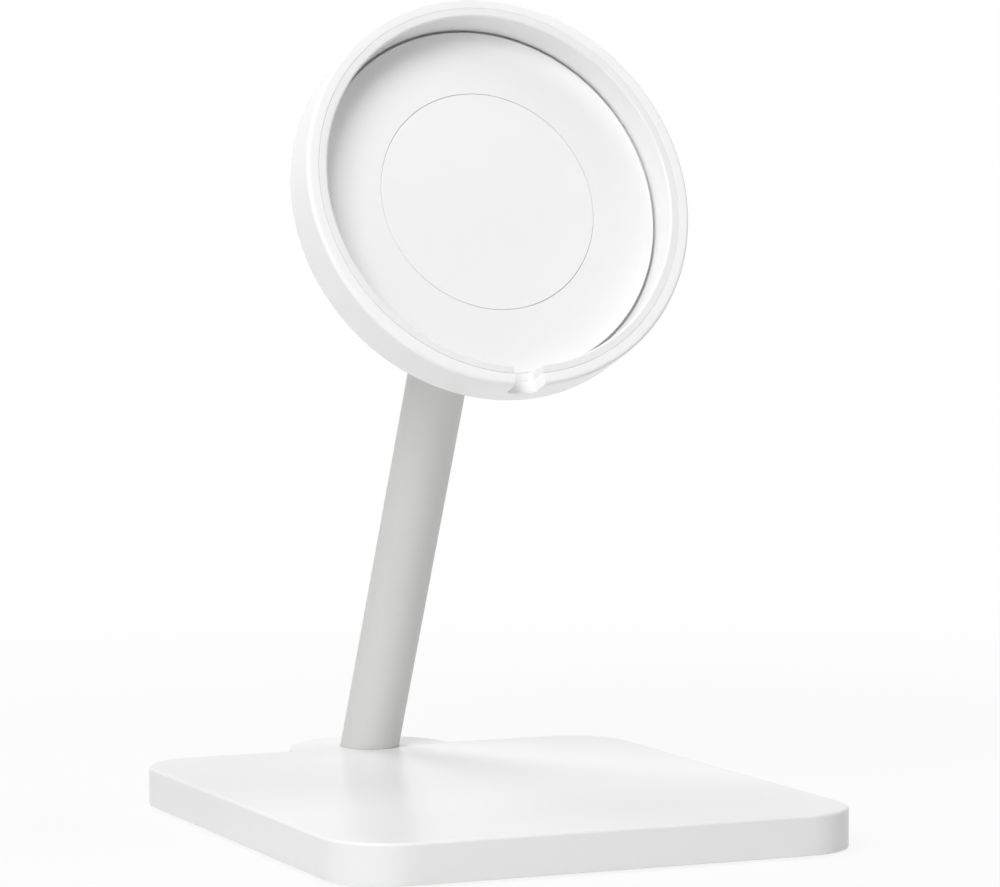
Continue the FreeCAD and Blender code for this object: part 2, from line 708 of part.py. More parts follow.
def hinge_nut():
    """Hex nut that sets the hinge's drag."""
    block = along_x(hexagon("nut_block", "Sizes.nut_flats", "Sizes.nut_height"), NUT_X)
    hole = along_x(cylinder("nut_hole", "Sizes.axle_thread_radius + Sizes.axle_gap", "Sizes.nut_height"),
                   NUT_X)
    node(cut("hinge_nut", block, hole), "hinge_nut")


def cut_notch(body):
    """Cuts the cable notch out of the lowest part of the head's wall, with round corners."""
    half = "(Sizes.notch_width / 2)"
    above = "(" + FRONT + " + Sizes.recess_depth)"
    outline = rectangle(body, "notch_outline", "XZ_Plane", "-" + half, half, NOTCH_FLOOR, above)
    notched = pocket(body, "notch", outline, "2 * " + HEAD_RADIUS, along=True)
    low = value(NOTCH_FLOOR)
    side = value(half)

    def corner(edge):
        box = edge.BoundBox
        on_floor = abs(box.ZMin - low) < TOLERANCE and abs(box.ZMax - low) < TOLERANCE
        on_side = box.XLength < TOLERANCE and abs(abs(box.Center.x) - side) < TOLERANCE
        return on_floor and on_side and box.Center.y < 0

    return dress(body, "Fillet", "notch_corners", notched, corner, "Sizes.notch_corner")


def head_shell():
    """Outer cup of the head, with round edges, the cable notch, and screw holes in its back."""
    body = new_body("head_shell", HEAD_FRAME)
    revolve(body, "cup", [
        ("0", "0"),
        (HEAD_RADIUS, "0"),
        (HEAD_RADIUS, FRONT),
        (SHELL_BORE, FRONT),
        (SHELL_BORE, "Sizes.shell_back"),
        ("0", "Sizes.shell_back"),
    ])
    holed = circles(body, "screw_circles", "XY_Plane", "Sizes.small_screw_radius + Sizes.thread_gap",
                    BRACKET_SCREWS)
    drilled = pocket(body, "screw_holes", holed, "Sizes.shell_back", along=True)
    mouth = hole_edge("Sizes.small_screw_radius + Sizes.thread_gap", "Sizes.shell_back")
    sink = "Sizes.small_head_radius - Sizes.small_screw_radius"
    dress(body, "Chamfer", "screw_sinks", drilled, mouth, sink)
    notched = cut_notch(body)
    back = dress(body, "Fillet", "back_edge", notched, ring_edge(HEAD_RADIUS, "0"),
                 "Sizes.shell_back_edge")
    front = dress(body, "Fillet", "front_edge", back, ring_edge(HEAD_RADIUS, FRONT),
                  "Sizes.shell_front_edge")
    dress(body, "Chamfer", "parting", front, ring_edge(SHELL_BORE, FRONT), "Sizes.parting_edge")


def bracket_screws():
    """Four countersunk screws from inside the cup into the bracket's flange."""
    length = "Sizes.shell_back + Sizes.bracket_thickness"
    screws = []
    for k, (x, y) in enumerate(BRACKET_SCREWS, start=1):
        screw = countersunk("bracket_screw_%d" % k, "Sizes.small_screw_radius",
                            "Sizes.small_head_radius", length)
        sine = "sin(Sizes.face_tilt)"
        cosine = "cos(Sizes.face_tilt)"
        place(screw, (
            "(" + HEAD_FRAME[0] + " + " + y + " * " + sine + " - Sizes.shell_back * " + cosine + ")",
            "(" + HEAD_FRAME[1] + " + " + y + " * " + cosine + " + Sizes.shell_back * " + sine + ")",
            "(270 - Sizes.face_tilt)",
        ))
        screw.setExpression("Placement.Base.x", x)
        screws.append(screw)
    group("bracket_screws", screws)


def rim_liner():
    """Ring inside the cup: a foot under the floor disc, an undercut wall for the puck, and a round lip."""
    body = new_body("rim_liner", HEAD_FRAME)
    revolve(body, "ring", [
        (LINER_FOOT, "Sizes.shell_back"),
        (LINER_RADIUS, "Sizes.shell_back"),
        (LINER_RADIUS, FRONT),
        ("Sizes.recess_radius", FRONT),
        ("Sizes.recess_radius", FLOOR + " + Sizes.liner_relief"),
        ("Sizes.recess_radius + Sizes.liner_undercut", DISC_BOTTOM),
        (LINER_FOOT, DISC_BOTTOM),
    ])
    notched = cut_notch(body)
    lip = dress(body, "Fillet", "lip", notched, ring_edge("Sizes.recess_radius", FRONT), "Sizes.lip_radius")
    dress(body, "Chamfer", "parting", lip, ring_edge(LINER_RADIUS, FRONT), "Sizes.parting_edge")


def disc_tape():
    """Adhesive ring between the back of the cup and the floor disc."""
    body = new_body("disc_tape", HEAD_FRAME)
    inner = "(Sizes.bracket_screw_circle + Sizes.small_head_radius + Sizes.tape_gap)"
    outer = "(" + LINER_FOOT + " - Sizes.tape_gap)"
    revolve(body, "ring", [
        (inner, "Sizes.shell_back"),
        (outer, "Sizes.shell_back"),
        (outer, DISC_BOTTOM),
        (inner, DISC_BOTTOM),
    ])


def floor_disc():
    """Floor of the cup, with a bevelled edge and a shallow seat for the pad in its middle."""
    body = new_body("floor_disc", HEAD_FRAME)
    seat = "(" + FLOOR + " - Sizes.centre_thickness)"
    plate = revolve(body, "plate", [
        ("0", DISC_BOTTOM),
        (DISC_RADIUS, DISC_BOTTOM),
        (DISC_RADIUS, FLOOR),
        ("Sizes.centre_radius", FLOOR),
        ("Sizes.centre_radius", seat),
        ("0", seat),
    ])
    dress(body, "Chamfer", "edge", plate, ring_edge(DISC_RADIUS, FLOOR), "Sizes.disc_edge")


def centre_pad():
    """Thin round pad let in flush with the floor: its edge shows as a fine circle."""
    body = new_body("centre_pad", HEAD_FRAME)
    radius = "(Sizes.centre_radius - Sizes.centre_gap)"
    seat = "(" + FLOOR + " - Sizes.centre_thickness)"
    plate = revolve(body, "plate", [
        ("0", seat),
        (radius, seat),
        (radius, FLOOR),
        ("0", FLOOR),
    ])
    dress(body, "Chamfer", "edge", plate, ring_edge(radius, FLOOR), "Sizes.centre_edge")


def check_document():
    """Stops before anything is written if an object failed or a piece is not a sound solid."""
    doc.recompute()
    for obj in doc.Objects:
        if "Invalid" in obj.State or "Error" in obj.State:
            raise RuntimeError(obj.Name + " failed: " + str(obj.State))
    for obj in nodes:
        if obj.Shape.isNull() or not obj.Shape.isValid() or obj.Shape.Volume <= 0:
            raise RuntimeError(obj.Label + " has no valid shape")


def write_parts():
    os.makedirs("parts", exist_ok=True)
    for obj in nodes:
        obj.Shape.exportStep(os.path.join("parts", obj.Label + ".step"))


base_cover()
ballast_plate()
foot_pad()
cover_screws()
stem_foot()
stem_screw()
stem_tube()
stem_knuckle()
stem_set_screw()
hinge_bracket()
friction_washers()
hinge_screw()
spring_washer()
hinge_nut()
head_shell()
bracket_screws()
rim_liner()
disc_tape()
floor_disc()
centre_pad()
check_document()
write_parts()
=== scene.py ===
import math

import bmesh
import bpy
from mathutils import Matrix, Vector


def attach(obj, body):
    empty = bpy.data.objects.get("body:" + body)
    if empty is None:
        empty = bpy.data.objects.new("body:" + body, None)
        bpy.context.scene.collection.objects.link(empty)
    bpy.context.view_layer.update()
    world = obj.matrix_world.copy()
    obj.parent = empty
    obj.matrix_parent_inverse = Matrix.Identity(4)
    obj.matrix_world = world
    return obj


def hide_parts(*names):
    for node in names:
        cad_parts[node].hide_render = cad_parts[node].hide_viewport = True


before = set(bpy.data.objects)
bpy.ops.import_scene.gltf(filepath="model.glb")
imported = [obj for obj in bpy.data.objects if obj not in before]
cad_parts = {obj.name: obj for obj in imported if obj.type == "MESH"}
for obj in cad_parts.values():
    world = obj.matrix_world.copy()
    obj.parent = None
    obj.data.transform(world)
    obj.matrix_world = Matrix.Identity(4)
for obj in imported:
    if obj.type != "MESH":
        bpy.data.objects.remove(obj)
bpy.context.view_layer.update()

# ---------------------------------------------------------------- Base cover
# The white cover that shows: a flat slab with round corners and a small round lobe for the stem.
# It is cast in aluminium, open below, and sprayed in satin white, which leaves a faint orange peel.
MM = 0.001
CLOSE = 0.01
MERGE = 0.001
BASE_HALF_WIDTH = 42.0
BASE_HALF_DEPTH = 47.5
BASE_CORNER = 10.5
LOBE_RADIUS = 13.686
LOBE_BLEND = 1.5
CORNER_STEPS = 24
BLEND_STEPS = 10
LOBE_STEPS = 64
COVER_BOTTOM = 0.4
COVER_ROOF = 4.9
COVER_TOP = 6.5
COVER_WALL = 1.6
COVER_EDGE = 0.5
COVER_EDGE_STEPS = 6
COVER_FOOT_EDGE = 0.15
CHAMFER_STEPS = 2
STEM_ROOT = (0, 48.7, COVER_TOP)
STEM_LEAN = math.radians(25)
STEM_HOLE_RADIUS = 4.86
STEM_HOLE_REACH = 12.0
STEM_HOLE_SIDES = 96
SMOOTH_LIMIT = 35
GRAIN_DETAIL = 3.0
DRIFT_DETAIL = 2.0
DRIFT_SCALE = 30.0
PLAIN_SHINE = 0.5


def put_down():
    """Leaves edit mode, with nothing selected."""
    if bpy.context.mode != "OBJECT":
        bpy.ops.object.mode_set(mode="OBJECT")
    bpy.ops.object.select_all(action="DESELECT")


def only(piece):
    """Selects one object alone."""
    put_down()
    piece.select_set(True)
    bpy.context.view_layer.objects.active = piece


def start(name):
    """Names the primitive that was just added, and opens it with all of it selected."""
    piece = bpy.context.object
    piece.name = name
    piece.data.name = name
    bpy.ops.object.mode_set(mode="EDIT")
    bpy.ops.mesh.select_mode(type="VERT")
    bpy.ops.mesh.select_all(action="SELECT")
    return piece


def shift(x=0.0, y=0.0, z=0.0):
    """Moves what is selected."""
    bpy.ops.transform.translate(value=(x * MM, y * MM, z * MM))


def pull(x=0.0, y=0.0, z=0.0):
    """Extrudes what is selected by a step."""
    step = {"value": (x * MM, y * MM, z * MM)}
    bpy.ops.mesh.extrude_region_move(TRANSFORM_OT_translate=step)


def pick(kind, wanted):
    """Selects the edges or faces that pass a test on them and on their middle, in millimetres."""
    bpy.ops.mesh.select_mode(type=kind)
    bpy.ops.mesh.select_all(action="DESELECT")
    shape = bmesh.from_edit_mesh(bpy.context.object.data)
    for part in shape.edges if kind == "EDGE" else shape.faces:
        middle = sum((v.co for v in part.verts), Vector()) / len(part.verts) / MM
        if wanted(part, middle):
            part.select_set(True)
    bmesh.update_edit_mesh(bpy.context.object.data)


def level(height):
    """A test for the edges or faces that lie at one height."""
    return lambda part, middle: all(abs(v.co.z / MM - height) < CLOSE for v in part.verts)


def bevel(width, steps):
    """Rounds the selected edges."""
    bpy.ops.mesh.bevel(offset=width * MM, segments=steps, affect="EDGES", clamp_overlap=False)


def inset(width):
    """Draws a border inside the selected face, and selects what is left of it."""
    bpy.ops.mesh.inset(thickness=width * MM)


def close_up():
    """Merges the points that meet, and turns all the faces outwards."""
    bpy.ops.mesh.select_all(action="SELECT")
    bpy.ops.mesh.remove_doubles(threshold=MERGE * MM)
    bpy.ops.mesh.normals_make_consistent(inside=False)


def base_slab(name, margin, bottom, top):
    """A plate with the base's outline, drawn in runs and turns, then filled and pulled up."""
    corner_x = BASE_HALF_WIDTH - BASE_CORNER
    corner_y = BASE_HALF_DEPTH - BASE_CORNER
    reach = LOBE_RADIUS + LOBE_BLEND
    blend_x = math.sqrt(reach ** 2 - LOBE_BLEND ** 2)
    blend_y = BASE_HALF_DEPTH + LOBE_BLEND
    slope = math.asin(LOBE_BLEND / reach)
    quarter = math.pi / 2
    put_down()
    bpy.ops.mesh.primitive_plane_add(size=MM)
    piece = start(name)
    bpy.ops.mesh.merge(type="CENTER")
    shift(BASE_HALF_WIDTH - margin, -corner_y, bottom)
    for run, centre, angle, steps in (
        ((0, 2 * corner_y), (corner_x, corner_y), quarter, CORNER_STEPS),
        ((blend_x - corner_x, 0), (blend_x, blend_y), slope - quarter, BLEND_STEPS),
        (None, (0, BASE_HALF_DEPTH), math.pi - 2 * slope, LOBE_STEPS),
        (None, (-blend_x, blend_y), slope - quarter, BLEND_STEPS),
        ((blend_x - corner_x, 0), (-corner_x, corner_y), quarter, CORNER_STEPS),
        ((0, -2 * corner_y), (-corner_x, -corner_y), quarter, CORNER_STEPS),
        ((2 * corner_x, 0), (corner_x, -corner_y), quarter, CORNER_STEPS),
    ):
        if run:
            pull(*run)
        pivot = (centre[0] * MM, centre[1] * MM, 0)
        bpy.ops.mesh.spin(steps=steps, angle=angle, center=pivot, axis=(0, 0, -1))
    bpy.ops.mesh.select_all(action="SELECT")
    bpy.ops.mesh.remove_doubles(threshold=MERGE * MM)
    bpy.ops.mesh.edge_face_add()
    pull(z=top - bottom)
    close_up()
    return piece


def seat(piece, spot, turn):
    """Turns a piece about X, Y and Z and sets it in its place, both kept in its mesh."""
    only(piece)
    piece.rotation_euler = turn
    piece.location = [c * MM for c in spot]
    bpy.ops.object.transform_apply(location=True, rotation=True, scale=True)


def work(piece, tool, operation, keep=False):
    """Cuts a tool out of a piece, or joins it on, and then clears the tool away."""
    only(piece)
    step = piece.modifiers.new("step", "BOOLEAN")
    step.operation = operation
    step.solver = "EXACT"
    step.object = tool
    bpy.ops.object.modifier_apply(modifier=step.name)
    if not keep:
        bpy.data.objects.remove(tool)


def rod(name, radius, bottom, top, sides):
    """A round or many-sided bar along Z."""
    put_down()
    length = (top - bottom) * MM
    bpy.ops.mesh.primitive_cylinder_add(vertices=sides, radius=radius * MM, depth=length)
    piece = start(name)
    shift(z=(top + bottom) / 2)
    return piece


def smooth(piece, limit=SMOOTH_LIMIT):
    """Shades a piece smooth up to an angle between faces, and keeps its flats flat."""
    only(piece)
    bpy.ops.object.shade_smooth_by_angle(angle=math.radians(limit))
    even = piece.modifiers.new("even", "WEIGHTED_NORMAL")
    even.keep_sharp = True
    bpy.ops.object.modifier_apply(modifier=even.name)


def make_surface_group():
    """The fine grain and slow drift of tone that every finish here has, each from 0 to 1."""
    group = bpy.data.node_groups.new("surface_grain", "ShaderNodeTree")
    textures = (("Grain", GRAIN_DETAIL), ("Drift", DRIFT_DETAIL))
    for name, _ in textures:
        scale = name + " scale"
        group.interface.new_socket(scale, in_out="INPUT", socket_type="NodeSocketFloat")
        group.interface.new_socket(name, in_out="OUTPUT", socket_type="NodeSocketFloat")
    entry = group.nodes.new("NodeGroupInput")
    leave = group.nodes.new("NodeGroupOutput")
    place = group.nodes.new("ShaderNodeTexCoord")
    for name, detail in textures:
        noise = group.nodes.new("ShaderNodeTexNoise")
        noise.inputs["Detail"].default_value = detail
        group.links.new(place.outputs["Object"], noise.inputs["Vector"])
        group.links.new(entry.outputs[name + " scale"], noise.inputs["Scale"])
        group.links.new(noise.outputs["Fac"], leave.inputs[name])
    return group


surface_grain = make_surface_group()


def finish(name, dark, light, rough, grain, depth, metal=0.0, drift=DRIFT_SCALE,
           shine=PLAIN_SHINE):
    """A finish whose tone and gloss drift a little, with a grain of some depth in millimetres."""
    material = bpy.data.materials.new(name)
    material.use_nodes = True
    nodes = material.node_tree.nodes
    links = material.node_tree.links
    shader = nodes["Principled BSDF"]
    shader.inputs["Metallic"].default_value = metal
    shader.inputs["Specular IOR Level"].default_value = shine
    grained = nodes.new("ShaderNodeGroup")
    grained.node_tree = surface_grain
    grained.inputs["Grain scale"].default_value = grain
    grained.inputs["Drift scale"].default_value = drift
    tone = nodes.new("ShaderNodeMix")
    tone.data_type = "RGBA"
    tone.inputs["A"].default_value = (*dark, 1)
    tone.inputs["B"].default_value = (*light, 1)
    gloss = nodes.new("ShaderNodeMapRange")
    gloss.inputs["To Min"].default_value = rough[0]
    gloss.inputs["To Max"].default_value = rough[1]
    bump = nodes.new("ShaderNodeBump")
    bump.inputs["Distance"].default_value = depth * MM
    links.new(grained.outputs["Drift"], tone.inputs["Factor"])
    links.new(tone.outputs["Result"], shader.inputs["Base Color"])
    links.new(grained.outputs["Drift"], gloss.inputs["Value"])
    links.new(gloss.outputs["Result"], shader.inputs["Roughness"])
    links.new(grained.outputs["Grain"], bump.inputs["Height"])
    links.new(bump.outputs["Normal"], shader.inputs["Normal"])
    return material


def fit(piece, material, body, slot, *nodes):
    """Gives a finished piece its material and its body, and hides the CAD nodes it stands for. The
    slot is not used.
    """
    piece.data.materials.clear()
    piece.data.materials.append(material)
    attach(piece, body)
    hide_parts(*nodes)


base_cover = base_slab("base_cover_painted", 0, COVER_BOTTOM, COVER_TOP)
pick("EDGE", level(COVER_TOP))
bevel(COVER_EDGE, COVER_EDGE_STEPS)
pick("EDGE", level(COVER_BOTTOM))
bevel(COVER_FOOT_EDGE, CHAMFER_STEPS)
pick("FACE", level(COVER_BOTTOM))
inset(COVER_WALL - COVER_FOOT_EDGE)
pull(z=COVER_ROOF - COVER_BOTTOM)
close_up()
hole = rod("stem_hole", STEM_HOLE_RADIUS, -STEM_HOLE_REACH, STEM_HOLE_REACH, STEM_HOLE_SIDES)
seat(hole, STEM_ROOT, (STEM_LEAN, 0, 0))
work(base_cover, hole, "DIFFERENCE")
smooth(base_cover)
satin_paint = finish("satin_white_paint", dark=(0.855, 0.855, 0.855), light=(0.87, 0.87, 0.87),
                     rough=(0.26, 0.32), grain=900, depth=0.004)
fit(base_cover, satin_paint, "stand", "cover_white", "base_cover")

# ---------------------------------------------------------------- Ballast plate and its screws
# A steel plate that fills the cover and gives the stand its weight, zinc plated against rust.
# Four small countersunk screws hold it to the cover, and a larger one holds the stem's foot.
zinc = finish("zinc_plated_steel", dark=(0.5, 0.5, 0.51), light=(0.6, 0.6, 0.61),
              rough=(0.3, 0.42), grain=2500, depth=0.004, metal=1.0, drift=120)


def dress(node, material):
    """Gives a CAD node that stays in view its material."""
    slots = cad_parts[node].data.materials
    slots.clear()
    slots.append(material)


for node in ("ballast_plate", "cover_screws", "stem_screw"):
    dress(node, zinc)

# ---------------------------------------------------------------- Foot pad
# A sheet of grey silicone stuck under the plate, the only piece that touches the desk.
# It is moulded, with a soft edge and a shallow groove that runs round just inside it.
PAD_MARGIN = 3.9
PAD_TOP = 1.0
PAD_EDGE = 0.2
PAD_EDGE_STEPS = 4
PAD_BORDER = 2.5
PAD_GROOVE_WIDTH = 0.8
PAD_GROOVE_DEPTH = 0.25
PAD_SMOOTH_LIMIT = 50

foot_pad = base_slab("foot_pad_moulded", PAD_MARGIN, 0, PAD_TOP)
pick("EDGE", level(0))
bevel(PAD_EDGE, PAD_EDGE_STEPS)
pick("FACE", level(0))
inset(PAD_BORDER)
inset(PAD_GROOVE_WIDTH / 2)
shift(z=PAD_GROOVE_DEPTH)
inset(PAD_GROOVE_WIDTH / 2)
shift(z=-PAD_GROOVE_DEPTH)
close_up()
smooth(foot_pad, PAD_SMOOTH_LIMIT)
silicone = finish("grey_silicone", dark=(0.5, 0.5, 0.5), light=(0.56, 0.56, 0.56),
                  rough=(0.6, 0.75), grain=3000, depth=0.01)
fit(foot_pad, silicone, "stand", "foot_grey", "foot_pad")

# ---------------------------------------------------------------- Stem foot
# The cast foot that holds the stem: a flange under the lobe's roof, and a slanted spigot for it.
# It is bare aluminium as it comes from the mould, and the cover and the tube hide it.
cast_aluminium = finish("cast_aluminium", dark=(0.5, 0.5, 0.51), light=(0.58, 0.58, 0.59),
                        rough=(0.45, 0.6), grain=1800, depth=0.02, metal=1.0)
dress("stem_foot", cast_aluminium)

# ---------------------------------------------------------------- Stem tube
# A drawn aluminium tube, bead blasted and anodised in light grey, that leans forward over the base.
# It is cut level where it stands in the cover, square at its top, and drilled for a set screw.
STEM_RADIUS = 4.8
TUBE_WALL = 1.2
TUBE_START = -10.0
TUBE_TOP = 89.4
TUBE_EDGE = 0.15
TUBE_SIDES = 128
EDGE_STEPS = 3
SET_SCREW_HEIGHT = 83.4
SET_SCREW_HOLE = 1.3
DRILL_REACH = 8.0
DRILL_SIDES = 48


def stem_seat(piece):
    """Sets a piece that was made along the stem, from the root up, in its place."""
    seat(piece, STEM_ROOT, (STEM_LEAN, 0, 0))


def trim_below(height):
    """Opens the piece in hand, cuts off all of it below a height, and closes the cut."""
    bpy.ops.object.mode_set(mode="EDIT")
    bpy.ops.mesh.select_all(action="SELECT")
    bpy.ops.mesh.bisect(plane_co=(0, 0, height * MM), plane_no=(0, 0, 1), use_fill=True,
                        clear_inner=True)


def circle_at(radius, height):
    """A test for the edges of the circle about Z at a radius and height."""
    return lambda edge, middle: level(height)(edge, middle) and all(
        abs(v.co.xy.length / MM - radius) < CLOSE for v in edge.verts)


put_down()
bpy.ops.mesh.primitive_cylinder_add(vertices=TUBE_SIDES, radius=STEM_RADIUS * MM,
                                    depth=(TUBE_TOP - TUBE_START) * MM, end_fill_type="NOTHING")
stem_tube = start("stem_tube_anodised")
shift(z=(TUBE_TOP + TUBE_START) / 2)
bpy.ops.object.mode_set(mode="OBJECT")
wall = stem_tube.modifiers.new("wall", "SOLIDIFY")
wall.thickness = TUBE_WALL * MM
wall.offset = -1
bpy.ops.object.modifier_apply(modifier=wall.name)
bpy.ops.object.mode_set(mode="EDIT")
pick("EDGE", circle_at(STEM_RADIUS, TUBE_TOP))
bevel(TUBE_EDGE, EDGE_STEPS)
drill = rod("set_screw_drill", SET_SCREW_HOLE, 0, DRILL_REACH, DRILL_SIDES)
seat(drill, (0, 0, SET_SCREW_HEIGHT), (-math.pi / 2, 0, 0))
work(stem_tube, drill, "DIFFERENCE")
stem_seat(stem_tube)
trim_below(COVER_ROOF)
close_up()
smooth(stem_tube)
anodised = finish("anodised_grey", dark=(0.67, 0.67, 0.66), light=(0.71, 0.71, 0.7),
                  rough=(0.48, 0.56), grain=4000, depth=0.006, metal=0.12)
fit(stem_tube, anodised, "stand", "stem_grey", "stem_tube")

# ---------------------------------------------------------------- Stem knuckle and its set screw
# The turned top of the stem: a plug in the tube, a collar flush with it, and the hinge's tongue.
# A set screw through the back of the tube locks it.
PLUG_RADIUS = 3.57
PLUG_BOTTOM = 77.4
COLLAR_TOP = 91.4
AXLE_HEIGHT = 96.3
TONGUE_RADIUS = 4.0
TONGUE_HALF = 2.0
TONGUE_EDGE = 0.3
AXLE_HOLE = 1.55
AXLE_REACH = 8.0
AXLE_SIDES = 64
SET_SCREW_RADIUS = 1.25
SET_SCREW_START = 2.77
SET_SCREW_END = 4.7
SET_SCREW_KEY = 1.3
SET_SCREW_SOCKET = 0.9
CUT_SPARE = 1.0
HEX_SIDES = 6


def turned(name, profile, sides, ring=False):
    """A piece turned about Z: a circle is pulled from point to point, by radius and height."""
    put_down()
    bpy.ops.mesh.primitive_circle_add(vertices=sides, radius=profile[0][0] * MM,
                                      fill_type="NOTHING" if ring else "NGON")
    piece = start(name)
    shift(z=profile[0][1])
    for (radius, height), (next_radius, next_height) in zip(profile, profile[1:]):
        pull(z=next_height - height)
        share = next_radius / radius
        bpy.ops.transform.resize(value=(share, share, 1), center_override=(0, 0, 0))
    close_up()
    return piece


def hex_rod(name, flats, bottom, top):
    """A six-sided bar along Z, by its width across the flats."""
    return rod(name, flats / 2 / math.cos(math.pi / HEX_SIDES), bottom, top, HEX_SIDES)


def lay(piece, spot):
    """Lays a piece that was made along Z along X instead, at a spot."""
    seat(piece, spot, (0, math.pi / 2, 0))


stem_knuckle = turned("stem_knuckle_turned", [
    (PLUG_RADIUS, PLUG_BOTTOM),
    (PLUG_RADIUS, TUBE_TOP),
    (STEM_RADIUS, TUBE_TOP),
    (STEM_RADIUS, COLLAR_TOP),
], TUBE_SIDES)
pick("EDGE", lambda edge, middle: circle_at(STEM_RADIUS, TUBE_TOP)(edge, middle)
     or circle_at(STEM_RADIUS, COLLAR_TOP)(edge, middle))
bevel(TUBE_EDGE, EDGE_STEPS)
tongue = rod("tongue", TONGUE_RADIUS, -TONGUE_HALF, TONGUE_HALF, AXLE_SIDES)
lay(tongue, (0, 0, AXLE_HEIGHT))
trim_below(AXLE_HEIGHT)
pick("FACE", level(AXLE_HEIGHT))
pull(z=COLLAR_TOP - TUBE_EDGE - AXLE_HEIGHT)
close_up()
pick("EDGE", lambda edge, middle: middle.z > COLLAR_TOP
     and all(abs(abs(v.co.x) / MM - TONGUE_HALF) < CLOSE for v in edge.verts)
     and abs(abs(middle.x) - TONGUE_HALF) < CLOSE)
bevel(TONGUE_EDGE, EDGE_STEPS)
work(stem_knuckle, tongue, "UNION")
bore = rod("axle_bore", AXLE_HOLE, -AXLE_REACH, AXLE_REACH, DRILL_SIDES)
lay(bore, (0, 0, AXLE_HEIGHT))
work(stem_knuckle, bore, "DIFFERENCE")
stem_seat(stem_knuckle)
smooth(stem_knuckle)
satin_aluminium = finish("satin_aluminium", dark=(0.56, 0.56, 0.56), light=(0.62, 0.62, 0.62),
                         rough=(0.36, 0.46), grain=5000, depth=0.005, metal=0.6)
fit(stem_knuckle, satin_aluminium, "stand", "hinge_grey", "stem_knuckle")

set_screw = rod("stem_set_screw_hex", SET_SCREW_RADIUS, SET_SCREW_START, SET_SCREW_END,
                DRILL_SIDES)
pick("EDGE", level(SET_SCREW_END))
bevel(TUBE_EDGE, CHAMFER_STEPS)
socket = hex_rod("set_screw_socket", SET_SCREW_KEY, SET_SCREW_END - SET_SCREW_SOCKET,
                 SET_SCREW_END + CUT_SPARE)
work(set_screw, socket, "DIFFERENCE")
seat(set_screw, (0, 0, SET_SCREW_HEIGHT), (-math.pi / 2, 0, 0))
stem_seat(set_screw)
smooth(set_screw)
fit(set_screw, zinc, "stand", "steel", "stem_set_screw")

# ---------------------------------------------------------------- Hinge bracket
# The bracket on the back of the head, cast and bored: a round flange with two lugs that flare out.
# Four screws from inside the cup hold it, and it is finished like the knuckle, in satin aluminium.
HEAD_SPOT = (0, 2.26974, 95.86377)
HEAD_TURN = math.radians(70)
FLANGE_RADIUS = 9.5
FLANGE_BACK = -1.6
FLANGE_EDGE = 0.4
FLANGE_EDGE_STEPS = 4
FLANGE_SIDES = 160
AXLE_Z = -6.1
LUG_RADIUS = 4.4
LUG_INNER = 2.45
LUG_OUTER = 5.65
LUG_FOOT = 7.0
LUG_FOOT_HALF = 0.4
LUG_EDGE = 0.3
LUG_FLAT = 1
LUG_SHARP = 57
LUG_ROOT = 0.05
LUG_SIDES = 80
NUT_SEAT = 3.45
HEAD_SEAT = 4.05
COUNTERBORE = 3.2


def head_seat(piece):
    """Sets a piece that was made along the head's axis, from its back forwards, in its place."""
    seat(piece, HEAD_SPOT, (HEAD_TURN, 0, 0))


def add_block(half_x, half_y, half_z):
    """Adds a box about the origin, by half its sizes, to the piece that is open or as a new one."""
    bpy.ops.mesh.primitive_cube_add(size=2)
    halves = (half_x * MM, half_y * MM, half_z * MM)
    bpy.ops.transform.resize(value=halves, center_override=(0, 0, 0))


def block(name, half_x, half_y, half_z):
    """A box about the origin that is a piece by itself."""
    put_down()
    add_block(half_x, half_y, half_z)
    bpy.ops.object.transform_apply(location=True, rotation=True, scale=True)
    return start(name)


hinge_bracket = turned("hinge_bracket_cast", [
    (FLANGE_RADIUS, FLANGE_BACK),
    (FLANGE_RADIUS, 0),
], FLANGE_SIDES)
pick("EDGE", circle_at(FLANGE_RADIUS, FLANGE_BACK))
bevel(FLANGE_EDGE, FLANGE_EDGE_STEPS)
lugs = rod("lugs", LUG_RADIUS, -LUG_OUTER, LUG_OUTER, LUG_SIDES)
lay(lugs, (0, 0, AXLE_Z))
bpy.ops.object.mode_set(mode="EDIT")
add_block(LUG_OUTER, LUG_FOOT, LUG_FOOT_HALF)
shift(z=FLANGE_BACK + LUG_ROOT + LUG_FOOT_HALF)
bpy.ops.mesh.select_all(action="SELECT")
bpy.ops.mesh.convex_hull()
close_up()
bpy.ops.mesh.dissolve_limited(angle_limit=math.radians(LUG_FLAT))
gap = block("hinge_gap", LUG_INNER, 3 * LUG_FOOT, 2 * LUG_RADIUS)
shift(z=FLANGE_BACK + LUG_FOOT_HALF - 2 * LUG_RADIUS)
work(lugs, gap, "DIFFERENCE")
bpy.ops.object.mode_set(mode="EDIT")
close_up()
pick("EDGE", lambda edge, middle: middle.z < FLANGE_BACK - LUG_ROOT
     and edge.calc_face_angle(0) > math.radians(LUG_SHARP))
bevel(LUG_EDGE, EDGE_STEPS)
work(hinge_bracket, lugs, "UNION")
for name, radius, left, right in (
    ("axle_holes", AXLE_HOLE, -AXLE_REACH, AXLE_REACH),
    ("nut_seat", COUNTERBORE, NUT_SEAT, AXLE_REACH),
    ("head_seat", COUNTERBORE, -AXLE_REACH, -HEAD_SEAT),
):
    bore = rod(name, radius, left, right, AXLE_SIDES)
    lay(bore, (0, 0, AXLE_Z))
    work(hinge_bracket, bore, "DIFFERENCE")
head_seat(hinge_bracket)
smooth(hinge_bracket)
fit(hinge_bracket, satin_aluminium, "head", "hinge_grey", "hinge_bracket")

